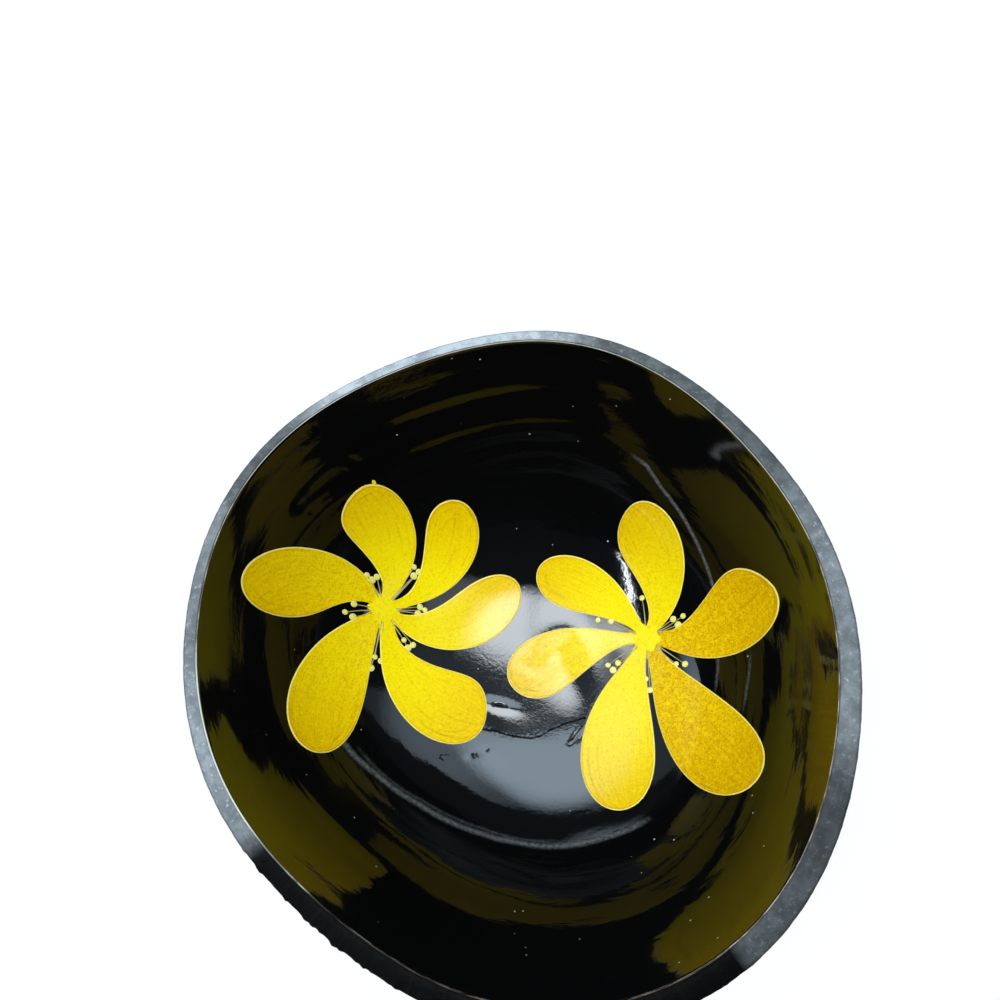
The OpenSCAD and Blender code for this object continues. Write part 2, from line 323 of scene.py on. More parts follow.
# A socket whose sums, products and powers add Math nodes
class Wire:
    def __init__(self, finish, socket):
        self.finish = finish
        self.socket = socket

    def math(self, operation, *others):
        return self.finish.node("Math", {"operation": operation}, dict(enumerate((self, *others))))

    def __add__(self, other):
        return self.math("ADD", other)

    __radd__ = __add__

    def __mul__(self, other):
        return self.math("MULTIPLY", other)

    __rmul__ = __mul__

    def __sub__(self, other):
        return self.math("SUBTRACT", other)

    def __rsub__(self, other):
        return self.finish.node("Math", {"operation": "SUBTRACT"}, {0: other, 1: self})

    # the value, but never under 0 or over 1
    def limit(self):
        return self.finish.node("Clamp", {}, {0: self, 1: 0.0, 2: 1.0})

    # 0 below the first value, 1 above the second, and smooth between
    def ramp(self, first, second):
        sockets = {0: self, 1: first, 2: second, 3: 0.0, 4: 1.0}
        return self.finish.node("MapRange", {"interpolation_type": "SMOOTHSTEP"}, sockets)


# A material, or the world's light, and the nodes that it is built from
class Finish:
    def __init__(self, holder):
        if isinstance(holder, str):
            holder = bpy.data.materials.new(holder)
            holder.use_nodes = True
        self.material = holder
        self.tree = holder.node_tree
        self.tree.nodes.clear()

    # a node of a kind, with its settings and the values or links of its sockets
    def node(self, kind, settings, sockets, out=0):
        made = self.tree.nodes.new("ShaderNode" + kind)
        for key, value in settings.items():
            setattr(made, key, value)
        for key, value in sockets.items():
            if isinstance(value, Wire):
                self.tree.links.new(value.socket, made.inputs[key])
            else:
                made.inputs[key].default_value = value
        return None if out is None else Wire(self, made.outputs[out])

    # an attribute of the mesh: its number, or its vector with out at 1
    def field(self, name, out=2):
        return self.node("Attribute", {"attribute_name": name}, {}, out)

    def objectPlace(self):
        return self.node("TexCoord", {}, {}, "Object")

    def stretched(self, scale, place):
        return self.node("Mapping", {}, {"Vector": place, "Scale": scale})

    def noise(self, place, scale, detail=3.0, roughness=0.5, distortion=0.0):
        sockets = {"Vector": place, "Scale": scale, "Detail": detail, "Roughness": roughness}
        return self.node("TexNoise", {}, {**sockets, "Distortion": distortion})

    # the first colour at a factor of 0, the second at 1
    def blend(self, factor, first, second):
        first, second = [
            value if isinstance(value, Wire) else (*value, 1) for value in (first, second)
        ]
        return self.node("Mix", {"data_type": "RGBA"}, {0: factor, 6: first, 7: second}, 2)

    def bumpNormal(self, height, distance, strength=1.0):
        sockets = {"Height": height, "Distance": distance, "Strength": strength}
        return self.node("Bump", {}, sockets)

    def surface(self, sockets):
        return self.show(self.node("BsdfPrincipled", {}, sockets))

    # one surface over another by a factor, with sockets in common
    def twoSurfaces(self, factor, first, second, common):
        shaders = [self.node("BsdfPrincipled", {}, {**common, **own}) for own in (first, second)]
        return self.show(self.node("MixShader", {}, {0: factor, 1: shaders[0], 2: shaders[1]}))

    def show(self, shader):
        self.node("OutputMaterial", {}, {0: shader}, None)
        return self.material


# A colour as it looks, in shares of white, made linear
def shade(red, green, blue):
    share = np.array([red, green, blue]) / 255
    linear = np.where(share <= 0.04045, share / 12.92, ((share + 0.055) / 1.055) ** 2.4)
    return tuple(linear.tolist())


# The hollow's gloss coat, with a small bead of lacquer that stands along the mouth
gloss = {
    "sides": 360,
    "rings": 220,
    "closer": 0.018,  # how much closer the rings stand near the pole and at the mouth
    "underRings": 14,
    "seat": 0.8,  # how deep in the lacquer the coat's underside lies, as a share
    "bead": 0.13,  # half the bead's width, in mm
    "beadHeight": 0.17,
    "beadRings": 9,
    "beadWaves": (0.12, 23, 9),  # how uneven the bead's height is, and its waves in a turn
    "colour": shade(7, 7, 7),
    "roughness": 0.045,
    # the lip's pale edge, partly worn lacquer and partly a painted highlight along the bead: its
    # colour, the stretches round the mouth where it is solid, and its level elsewhere
    "sheenAndWear": shade(204, 202, 190),
    "sheenAndWearStretches": [(88, 60, 8, 0.5), (196, 17, 9, 0.7), (265, 38, 10, -0.2)],
    "sheenAndWearElsewhere": 0.2,
    "thick": [(202, 26, 14, 0.9)],  # where the bead stands thicker
    "peel": 0.022,  # depth of the fine orange peel, in mm
    "brushed": 0.045,  # depth of the long ripples round the wall, in mm
    # dull, pale lines round the wall, painted highlights along ripple rings with some grit in them:
    # angles in degrees, shares, half width in mm and level
    "lines": [
        ([-168, -160, -152, -136, -124, -112, -97, -82, -67, -48],
         [0.68, 0.656, 0.623, 0.584, 0.569, 0.552, 0.54, 0.541, 0.541, 0.56], 0.55, 0.62),
        ([-163, -136, -112, -82], [0.636, 0.566, 0.533, 0.522], 0.3, 0.25),
        ([22, 32, 41, 48, 56, 61, 66], [0.68, 0.719, 0.755, 0.781, 0.805, 0.83, 0.837], 0.26, 0.9),
        ([-2, 5, 12], [0.595, 0.612, 0.632], 0.3, 0.5),
        ([-8, 0, 9], [0.694, 0.71, 0.738], 0.3, 0.4),
    ],
    # cracks, and a line of painted shade along the front foot of the pore's mound, that show black
    # in the floor's gloss: places in mm to the right and to the back
    "cracksAndShade": [
        # the first is the line of painted shade; the others follow the slit, the groove and the
        # beads
        ([-13.4, -12.1, -9.8, -7.4, -5, -2.5, -0.3, 1.8, 4.4, 6.5, 9.4],
         [-7.4, -7.7, -7.9, -8.8, -9.2, -9.5, -9, -7.7, -6.6, -5.9, -5.1], 0.85),
        ([-10.7, -9.2, -7.7], [-2.3, -2.4, -2.6], 1.5),
        ([5.2, 6.1, 6.9, 7.9], [-10.9, -11.3, -10.7, -9.8], 0.9),
        ([6.6, 7.3, 8.2, 8.7], [-9.9, -8.7, -7.5, -7], 1.1),
        ([-12.0, -11.7], [-12.3, -11.9], 1.0),
        ([-15.2, -14.2], [-13.0, -13.0], 1.0),
        ([-14.9, -13.9], [-13.7, -13.5], 0.9),
        ([-22.2, -20.2], [-13.2, -13.1], 0.7),
        ([-22.1, -21.3], [-13.8, -14.3], 0.8),
    ],
    # colour of the painted highlight lines
    "line": shade(118, 121, 121),
}


# The level of the painted highlight lines at each place: each fades out over its half width and at
# its ends
def highlightLineLevels(angle, share, lines):
    level = 0 * (angle + share)
    degrees = np.degrees(angle) - 360 * (angle > np.pi)
    for angles, shares, half, strength in lines:
        off = np.abs(share - np.interp(degrees, angles, shares)) * bowl["run"] / half
        ends = np.minimum(degrees - angles[0], angles[-1] - degrees) / 5
        level = np.maximum(level, strength * np.clip(ends, 0, 1) * np.clip(2 - off, -3, 2) / 2)
    return level


# How near each place is to the cracks and the line of painted shade: 1 on one, less by 1 for each
# half width off it or past its ends
def crackAndShadeLevels(x, y, cracksAndShade):
    level = 0 * x - 3
    for places, backs, half in cracksAndShade:
        off = np.abs(y - np.interp(x, places, backs)) / half
        past = np.maximum(places[0] - x, x - places[-1]) / half
        level = np.maximum(level, 1 - np.hypot(off, np.maximum(past, 0)))
    return level


# Black gloss with orange peel and ripples as its bump, dust specks, pale lines of painted highlight
# with grit in them, black cracks and a line of painted shade in it, and a pale edge along the lip
# that is partly wear and partly painted highlight. Of its two surfaces the glossier one covers the
# floor
def makeGlossFinish(settings):
    finish = Finish("blackLacquer")
    place = finish.objectPlace()
    lip = finish.field("lip")
    deep = 1 - finish.field("share").ramp(0.42, 0.78)
    specks = finish.noise(place, 900.0, 2.0).ramp(0.74, 0.8)
    haze = finish.noise(place, 60.0, 4.0, 0.6).ramp(0.35, 0.75)
    dashes = finish.noise(place, 170.0, 3.0, 0.6).ramp(0.44, 0.6)
    # the lip's pale edge, partly wear and partly painted highlight: solid in stretches, in dashes
    # elsewhere
    solid = finish.field("solid")
    broad = solid + (1 - solid) * dashes * (0.15 + 0.45 * solid.ramp(0.0, 0.2))
    sheenAndWear = (lip.ramp(0.45, 0.8) * broad).limit()
    tone = finish.blend(specks * 0.5, settings["colour"], shade(34, 33, 30))
    cells = finish.node("TexVoronoi", {}, {"Vector": place, "Scale": 230.0})
    dust = (1 - cells.ramp(0.03, 0.055)) * finish.noise(place, 45.0, 2.0).ramp(0.46, 0.56)
    tone = finish.blend(dust, tone, shade(190, 192, 185))
    broken = finish.noise(place, 1500.0, 3.0, 0.7)
    # painted highlight lines along ripple rings, broken by grit
    lines = finish.field("line").limit() * (0.4 + 0.7 * broken.ramp(0.36, 0.62))
    # cracks and the line of painted shade take the gloss off, so that the black shows
    crackAndShade = (finish.field("crackAndShade") + 0.3 * (broken - 0.5)).ramp(0.6, 0.82)
    crackAndShade = crackAndShade * (0.5 + 0.5 * broken.ramp(0.3, 0.5))
    tone = finish.blend(lines.limit(), tone, settings["line"])
    colour = finish.blend(sheenAndWear, tone, settings["sheenAndWear"])
    peel = finish.noise(place, 420.0, 2.0, 0.4)
    swirl = finish.noise(finish.stretched((1, 1, 0.35), place), 95.0, 3.0, 0.55)
    grit = finish.noise(place, 1300.0, 2.0, 0.6)
    long = finish.noise(finish.stretched((3, 3, 26), finish.field("ring", 1)), 1.0, 3.0, 0.5, 0.6)
    height = (peel * 0.3 + swirl * 0.5 + grit * (0.1 + 0.4 * deep)) * settings["peel"]
    height = height + long * finish.field("share").ramp(0.35, 0.62) * settings["brushed"]
    normal = finish.bumpNormal(height, mm)
    roughness = settings["roughness"] + haze * 0.02 + specks * 0.2 + sheenAndWear * 0.25 + lines * 0.2
    # the gloss is thick where it ran down to the floor, and thin on the wall
    common = {"Base Color": colour, "Roughness": roughness, "Normal": normal}
    return finish.twoSurfaces(deep * (1 - crackAndShade), {"IOR": 1.15}, {"IOR": 1.62}, common)


# The gloss as one closed form: rings of its surface from the pole to the mouth, the bead over the
# rim, and its underside back to the pole
def makeGloss(settings):
    angle = np.arange(settings["sides"]) * 2 * np.pi / settings["sides"]
    step = np.linspace(0, 1, settings["rings"] + 1)[1:]
    share = step - settings["closer"] * np.sin(2 * np.pi * step)
    rings = glossPoint(angle[None, :], share[:, None])
    # the bead: half an ellipse that runs over the rim from the gloss to the seat
    turn = np.linspace(0.12, 1, settings["beadRings"])[:, None] * np.pi
    edge = glossPoint(angle, np.ones(settings["sides"]))
    outward = settings["bead"] * (1 - np.cos(turn)) * (1 + stretches(angle, settings["thick"]))
    swing, many, few = settings["beadWaves"]
    rise = settings["beadHeight"] * np.sin(turn)
    rise = rise * (1 + swing * np.sin(many * angle) * np.sin(few * angle))
    bead = np.stack([
        edge[:, 0] + outward * np.cos(angle),
        edge[:, 1] + outward * np.sin(angle),
        edge[:, 2] + rise - bowl["lacquer"] * (1 - np.cos(turn)) / 2,
    ], -1)
    low = np.linspace(1, 0.05, settings["underRings"])
    seat = wallPoint(angle[None, :], low[:, None], bowl["lacquer"] * settings["seat"])
    seat[..., 2] += poreLift(seat[..., 0], seat[..., 1])
    points = np.concatenate([rings, bead, seat])
    poles = np.stack([glossPoint(np.zeros(1), np.full(1, 1e-6))[0], seat[-1].mean(0)])
    shares = np.zeros(points.shape[:2])
    shares[:len(share)] = share[:, None]
    shares[len(share):] = 1
    lip = np.zeros(points.shape[:2])
    lip[len(rings):len(rings) + len(bead)] = 1
    lip[len(rings) - 1] = 0.4
    # where the lip's pale edge, partly wear and partly painted highlight, is solid
    solid = settings["sheenAndWearElsewhere"] + stretches(angle, settings["sheenAndWearStretches"])
    ring = [part + 0 * shares for part in (np.cos(angle), np.sin(angle), shares)]
    values = {"lip": lip, "share": shares, "solid": np.clip(solid + 0 * shares, 0, 1)}
    values["line"] = highlightLineLevels(angle[None, :], shares, settings["lines"])
    values["crackAndShade"] = crackAndShadeLevels(points[..., 0], points[..., 1], settings["cracksAndShade"])
    values = {key: np.append(part.ravel(), [0, 0]) for key, part in values.items()}
    values["ring"] = np.concatenate([np.stack(ring, -1).reshape(-1, 3), np.zeros((2, 3))])
    piece = makePiece(
        "glossHollow",
        np.concatenate([points.reshape(-1, 3), poles]),
        lensFaces(len(points), settings["sides"]),
        makeGlossFinish(settings),
        values,
    )
    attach(piece, "root")
    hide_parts("inner_lacquer")


makeGloss(gloss)

# The rim's crown and the outside, under a thin satin polish that lets the fibre show
polish = {
    "sides": 720,
    "crownRings": 26,
    "wallRings": 64,
    "lastShare": 0.37,  # where the coat ends under the bowl
    "under": -0.05,  # height of its underside over the shell, in mm
    "groove": 0.05,  # depth of the groove beside the bead, in mm
    "grooveAt": 0.13,  # its place and width, as shares of the way across the crown
    "grooveWidth": 0.055,
    "knots": 0.7,
    # fibres: height, number in a turn and phase
    "strands": [(0.3, 61, 0.4), (0.35, 97, 2.2), (0.4, 163, 4.4), (0.4, 227, 1.3)],
    "fibre": 0.05,  # height of the fibres, in mm
    "rough": [(260, 46, 8, 8.0)],  # where the edge is left rougher
    # painted sheen on the crown: stretches round the mouth, each a middle, half width and softness
    # in degrees and a level, lighter where the crown reflects the light and darker where it faces
    # the dark front
    "sheenAndWearStretches": [
        (106, 24, 12, 0.9), (88, 14, 10, 0.1), (8, 26, 14, 0.24), (-38, 22, 8, -0.12),
        (182, 31, 8, 0.25), (193, 14, 8, 0.15), (260, 46, 5, -0.3),
    ],
    # the painted sheen's level on the rest of the crown
    "sheenAndWearElsewhere": 0.3,
    "dark": shade(4, 4, 4),
    # colour of the painted sheen
    "sheenGrey": shade(178, 182, 184),
    "brown": shade(26, 20, 16),
    "roughness": 0.36,
}


# Drop of the crown below the rim, as a share of its whole drop: the mean of two powers of the
# share of the way across, so that it slopes outwards all over and a little more at its edge
def crownDrop(across):
    return (across ** 1.35 + across ** 2) / 2


# Fibres and pits of the husk side as a height: sums of sines that run down the wall
def fibreHeight(angle, run):
    strands = sum(
        size * np.sin(count * angle + start + 0.9 * np.sin(run / 7 + start))
        for size, count, start in polish["strands"]
    )
    knots = np.sin(37 * angle + run / 2.1) * np.sin(23 * angle - run / 3.3 + 1)
    return strands * 0.6 + knots * polish["knots"]


# The same as the fibres' height in mm, with its high parts drawn out where the edge is left rough
def edgeHeight(angle, run, reach):
    height = fibreHeight(angle, run)
    drawn = stretches(angle, polish["rough"]) * reach
    return polish["fibre"] * height * np.where(height > 0, 1 + drawn, 1)


# A ring of the crown at a share of the way across it: between the points where the wall starts
# and ends at the rim, lowered by the drop and the groove, and raised by the coat along a normal
# that leans out with the square of the share
def polishRow(angle, across, run, coat):
    inside = wallPoint(angle, np.ones_like(angle), bowl["lacquer"])
    swell = bowl["swell"] * np.cos(angle - np.radians(bowl["swellSide"]))
    outside = wallPoint(angle, np.ones_like(angle), wall + swell)
    place = inside + (outside - inside) * across
    lean = np.array([across ** 2, 1]) / np.hypot(across ** 2, 1)
    drop = (rimZ - outside[..., 2]) * crownDrop(across)
    off = (across - polish["grooveAt"]) / polish["grooveWidth"]
    dip = polish["groove"] * np.exp(-off ** 2) * (coat > 0)
    rough = edgeHeight(angle, run, across ** 3) * np.clip(across * 3 - 0.5, 0, 1) * (coat > 0)
    place[..., 0] += np.cos(angle) * (coat * lean[0] + rough * across)
    place[..., 1] += np.sin(angle) * (coat * lean[0] + rough * across)
    place[..., 2] = rimZ - drop + coat * lean[1] - dip + np.minimum(rough, 0.06) * 0.5
    return place


# Near black with brown fibres that run down the wall, and a grey, mottled crown: painted sheen, the
# light that the crown reflects painted into its colour at a level set round the mouth
def makePolishFinish(settings):
    finish = Finish("darkPolish")
    place = finish.objectPlace()
    strand = finish.field("strand", 1)
    crown = finish.field("crown")
    fibres = finish.noise(finish.stretched((46, 46, 2.2), strand), 1.0, 5.0, 0.6, 0.6)
    mottle = finish.noise(place, 330.0, 5.0, 0.62)
    cloud = finish.noise(place, 38.0, 4.0, 0.55)
    flecks = finish.noise(place, 950.0, 3.0, 0.7).ramp(0.56, 0.7)
    # painted sheen: grey on the crown at the level set round the mouth, mottled
    sheenGrey = crown * finish.field("sheenAndWear") * (0.5 + 0.35 * mottle.ramp(0.35, 0.7) + 0.6 * flecks)
    sheenGrey = sheenGrey * (0.6 + 0.8 * cloud)
    base = finish.blend(fibres.ramp(0.52, 0.78) * 0.5, settings["dark"], settings["brown"])
    colour = finish.blend(sheenGrey.limit(), base, settings["sheenGrey"])
    height = fibres * 0.45 + mottle * 0.4 + flecks * 0.15
    normal = finish.bumpNormal(height, 0.00045, 0.7)
    roughness = settings["roughness"] + 0.25 * (mottle - 0.5) + 0.12 * cloud
    return finish.surface({
        "Base Color": colour,
        "Roughness": roughness,
        "Normal": normal,
        "Specular IOR Level": 0.04,
    })


# The polish as a hoop of rings: out over the crown, down the wall, and back under the coat. Its
# rows stand closer at the rim's outer edge, by powers of the shares
def makePolish(settings):
    angle = np.arange(settings["sides"]) * 2 * np.pi / settings["sides"]
    across = 1 - (1 - np.linspace(0, 1, settings["crownRings"])) ** 1.35
    down = np.linspace(0, 1, settings["wallRings"] + 1)[1:] ** 1.1
    share = 1 - (1 - settings["lastShare"]) * down
    grow = (share - footShare) / (1 - footShare)
    swell = bowl["swell"] * np.cos(angle - np.radians(bowl["swellSide"]))[None, :] * grow[:, None]

    # the wall's rings, deep in the wall by its thickness, with fibres that fade down the wall
    def wallRows(shares, swells, coat):
        run = bowl["run"] * (1 - shares)[:, None]
        rough = edgeHeight(angle[None, :], run, np.exp(-run / 5)) * (coat > 0)
        return wallPoint(angle[None, :], shares[:, None], wall + swells + coat + rough)

    over = [polishRow(angle, a, 4 * (a - 1), bowl["polish"]) for a in across]
    below = [polishRow(angle, a, 0, settings["under"]) for a in across[::4]]
    rows = np.concatenate([
        np.array(over),
        wallRows(share, swell, bowl["polish"]),
        wallRows(share[::-6], swell[::-6], settings["under"]),
        np.array(below[::-1]),
    ])
    high = len(over)
    crown = np.zeros(rows.shape[:2])
    level = np.clip((1.08 - across) / 0.22, 0, 1) * np.clip((across + 0.04) / 0.06, 0, 1)
    crown[:high] = level[:, None]
    # painted sheen: how grey the crown is round the mouth
    sheenAndWear = settings["sheenAndWearElsewhere"] + stretches(angle, settings["sheenAndWearStretches"]) + 0 * crown
    far = np.zeros((len(rows), 1))
    far[high:high + len(share), 0] = 1 - share
    strand = np.stack([part + 0 * crown for part in (np.cos(angle), np.sin(angle), far)], -1)
    piece = makePiece(
        "polishCoat",
        rows.reshape(-1, 3),
        ringFaces(len(rows), settings["sides"], True),
        makePolishFinish(settings),
        {"crown": crown.ravel(), "sheenAndWear": sheenAndWear.ravel(), "strand": strand.reshape(-1, 3)},
    )
    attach(piece, "root")
    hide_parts("outer_polish")


makePolish(polish)

# The bare shell shows only where the base is ground flat
shell = {
    "pale": shade(150, 112, 78),
    "dark": shade(84, 58, 40),
    "roughness": 0.55,
}


# Brown grain along the fibres, with dark pores and fine scratches
def makeShellFinish(settings):
    finish = Finish("bareShell")
    place = finish.objectPlace()
    grain = finish.noise(finish.stretched((260, 260, 60), place), 1.0, 5.0, 0.6, 0.4)
    pores = finish.noise(place, 900.0, 3.0).ramp(0.62, 0.7)
    scratches = finish.noise(finish.stretched((1400, 90, 90), place), 1.0, 2.0)
    colour = finish.blend(grain.ramp(0.3, 0.7), settings["dark"], settings["pale"])
    colour = finish.blend(pores * 0.7, colour, shade(40, 26, 18))
    normal = finish.bumpNormal(grain * 0.4 + scratches * 0.3 - pores * 0.5, 0.0002, 0.7)
    return finish.surface({
        "Base Color": colour,
        "Roughness": settings["roughness"] + 0.15 * (grain - 0.5),
        "Normal": normal,
    })


bareShell = makeShellFinish(shell)
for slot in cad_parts["coconut_shell"].material_slots:
    slot.material = bareShell
print("scene: shell finish")

# The flowers: places in mm from the base's centre; a petal's row holds its direction, length,
# width, curl, and the share of its length where its left and its right side stand out most.
# Anthers are given by the pixels of the frame where they show
flowers = {
    "left": {
        "centre": (-34.1, 18.0),
        "drips": [(-34.3, 42.2)],
        "petals": [
            (126, 23.7, 12.7, 61, 0.69, 0.69),
            (68.5, 22.9, 14.1, 30, 0.78, 0.72),
            (17, 27.8, 11.4, 37.5, 0.78, 0.745),
            (-36, 29.0, 12.4, 50.5, 0.72, 0.68),
            (-83, 32.4, 16.1, 35, 0.79, 0.717),
            (-138, 33.7, 14.0, 28, 0.63, 0.66),
        ],
        "wet": [0.05, 0.3, 0.05, 0.75, 0.02, 0.05],  # clear coat over each petal
        # painted shade as well as the paint's warmer tone: petals that lie away from the light are
        # made darker and more amber
        "amberAndShadeTints": [0.5, 0.0, 0.0, 0.1, 0.1, 0.45],  # how amber each petal is
        "anthers": [
            [(367, 575), (377, 577), (372, 580)],
            [(414, 567), (419, 572), (414, 576)],
            [(425, 610), (420, 607), (418, 614)],
            [(404, 640), (413, 645), (408, 648)],
            [(375, 657), (381, 661), (371, 668)],
            [(345, 612), (354, 604), (353, 617)],
        ],
    },
    "right": {
        "centre": (23.0, 11.9),
        "drips": [],
        "petals": [
            (126, 27.9, 11.2, 23.5, 0.715, 0.706),
            (64, 27.0, 12.3, 34, 0.75, 0.63),
            (-3, 25.9, 16.0, 20.5, 0.786, 0.69),
            (-67, 38.7, 16.8, 9.5, 0.7, 0.706),
            (-121, 37.2, 16.2, 23.5, 0.667, 0.72),
            (177, 31.1, 13.2, 23, 0.736, 0.738),
        ],
        "wet": [0.05, 0.5, 0.05, 0.1, 0.35, 0.65],
        # the same, partly the paint's tone and partly painted shade
        "amberAndShadeTints": [0.0, 0.2, 1.2, 1.2, 0.1, 0.2],
        "anthers": [
            [(642, 598)],
            [(683, 616), (673, 619), (678, 625)],
            [(676, 664), (685, 664), (676, 672)],
            [(646, 679), (650, 690)],
            [(608, 665), (618, 663), (613, 670)],
            [(598, 620), (611, 621)],
        ],
    },
}
paint = {
    "rows": 96,
    "columns": 30,
    "start": 0.03,  # where a petal starts, as a share of its length
    "tip": 0.9995,  # where it ends
    "base": 0.21,  # width of its base as a share of its whole width
    "thickness": 0.13,  # of the paint, in mm
    "thicker": 0.06,  # by how much each petal is thicker than the one before it
    "full": 7,  # distance from the flower's centre at which the paint is at its thickest, in mm
    "rounded": 0.35,  # how far in from the edge the paint is rounded, in mm
    "ridge": (0.03, 0.25, 0.16),  # height, distance from the edge and width of the brush's ridge
    "sink": 0.03,  # how deep in the gloss the paint's edge lies, and its underside below that
    "under": 0.02,
    "gold": shade(240, 198, 2),
    "bright": shade(252, 228, 8),
    "amber": shade(208, 148, 2),
    "brown": shade(146, 98, 8),
    "pale": shade(246, 228, 122),
    "outline": 0.22,  # width of the pale outline, in mm
    "heart": (3.0, 0.17, 0.16),  # radius and height in mm, and how lobed it is
    "drip": (0.4, 0.14, 0),
    "domeRings": 14,
    "domeSides": 48,
}


# Half width of a petal at a share of its length: a power of the share times the root of what
# is left, each over its value at the peak
def petalSide(share, peak):
    power = peak / (1 - peak) / 2
    return (share / peak) ** power * np.sqrt((1 - share) / (1 - peak))


# Places over a petal: a centre line that turns by the curl as it leaves the flower's centre,
# and points to each side of it by the half widths
def petalPlaces(centre, row, share, across):
    direction, length, width, curl, leftPeak, rightPeak = row
    heading = np.radians(direction + curl * share)
    side = heading + np.arctan(np.radians(curl) * share) + np.pi / 2
    far = length * (paint["start"] + (1 - paint["start"]) * share)
    half = np.where(across > 0, petalSide(share, leftPeak), petalSide(share, rightPeak))
    half = (half ** 3 + (paint["base"] * (1 - share)) ** 3) ** (1 / 3) * width / 2
    x = centre[0] + np.cos(heading) * far + np.cos(side) * half * across
    y = centre[1] + np.sin(heading) * far + np.sin(side) * half * across
    return x, y


# Distance of each place to the nearest point of a line of places
def nearest(x, y, lineX, lineY):
    gaps = (x.ravel()[:, None] - lineX[None, :]) ** 2 + (y.ravel()[:, None] - lineY[None, :]) ** 2
    return np.sqrt(gaps.min(1)).reshape(x.shape)


# Gold paint, brighter at the heart, with strokes and specks of amber along the brush's way, brown
# lines that follow the edge, and a pale outline with a darker groove inside it. Each petal's tint
# adds amber: partly the paint's warmer tone and partly painted shade on the petals that lie away
# from the light
def makePaintFinish(settings):
    finish = Finish("goldPaint")
    place = finish.objectPlace()
    edge = finish.field("edge")
    along = finish.field("along")
    tint = finish.field("tint")
    brush = finish.field("brush", 1)
    strokes = finish.noise(brush, 1.0, 4.0, 0.65, 0.3)
    fine = finish.noise(finish.stretched((3.4, 1.4, 1), brush), 1.0, 3.0, 0.65)
    rows = finish.noise(finish.field("outlines", 1), 1.0, 3.0, 0.6, 0.2)
    grain = finish.noise(place, 1500.0, 3.0, 0.7)
    spots = finish.noise(place, 700.0, 4.0, 0.6)
    specks = finish.noise(place, 2300.0, 2.0, 0.6)
    end = along.ramp(0.35, 1.0)
    colour = finish.blend(end * 0.85 + 0.1, settings["bright"], settings["gold"])
    # the tint: partly the paint's warmer tone and partly painted shade
    amber = strokes.ramp(0.48, 0.74) * (0.2 + 0.3 * end) + tint * (0.3 + 0.3 * spots.ramp(0.3, 0.7))
    amber = amber + specks.ramp(0.5, 0.64) * (0.2 + 0.5 * tint)
    colour = finish.blend(amber.limit(), colour, settings["amber"])
    thin = rows.ramp(0.56, 0.72) * along.ramp(0.4, 0.9) * (1 - edge.ramp(1.6, 4.5))
    dark = thin * 0.6 + fine.ramp(0.58, 0.8) * 0.2 + (1 - grain.ramp(0.3, 0.44)) * 0.25
    colour = finish.blend(dark.limit(), colour, settings["brown"])
    light = grain.ramp(0.52, 0.7) * 0.5 + (1 - fine.ramp(0.3, 0.48)) * 0.35
    colour = finish.blend(light.limit(), colour, settings["bright"])
    width = settings["outline"] * (0.55 + 0.9 * spots)
    ring = (edge - width).ramp(-0.03, 0.06)
    groove = ring * (1 - edge.ramp(settings["outline"] * 1.5, settings["outline"] * 2.8))
    colour = finish.blend(groove * (0.1 + 0.5 * end), colour, settings["amber"])
    colour = finish.blend((1 - ring) * (0.5 + 0.5 * spots), colour, settings["pale"])
    height = strokes * 0.5 + fine * 0.3 + rows * 0.2 + grain * 0.15
    normal = finish.bumpNormal(height, 0.00022, 0.6)
    return finish.surface({
        "Base Color": colour,
        "Roughness": 0.4 + 0.16 * spots,
        "Normal": normal,
        "Specular IOR Level": 0.05,
        "Coat Weight": finish.field("wet"),
        "Coat Roughness": 0.12,
    })


# A low dome over the gloss round a place: height times the root of 1 less the share of the
# radius to the fourth, with six soft lobes if wanted
def makeDome(centre, radius, height, rings, sides, lobes=0.0):
    share = np.linspace(0, 1, rings + 1)[1:, None]
    turn = np.linspace(0, 2 * np.pi, sides, endpoint=False)[None, :]
    reach = radius * share * (1 + lobes * np.cos(6 * turn + 0.8) * share)
    x, y = centre[0] + reach * np.cos(turn), centre[1] + reach * np.sin(turn)
    over = glossOver(x, y, height * np.sqrt(1 - share ** 4) + 0 * turn - paint["sink"])
    below = glossOver(x[-1:], y[-1:], np.full((1, sides), -paint["sink"] - paint["under"]))
    ends = np.array([height, -paint["under"]]) - paint["sink"]
    poles = glossOver(np.full(2, centre[0]), np.full(2, centre[1]), ends)
    points = np.concatenate([over.reshape(-1, 3), below.reshape(-1, 3), poles])
    return points, lensFaces(rings + 1, sides)


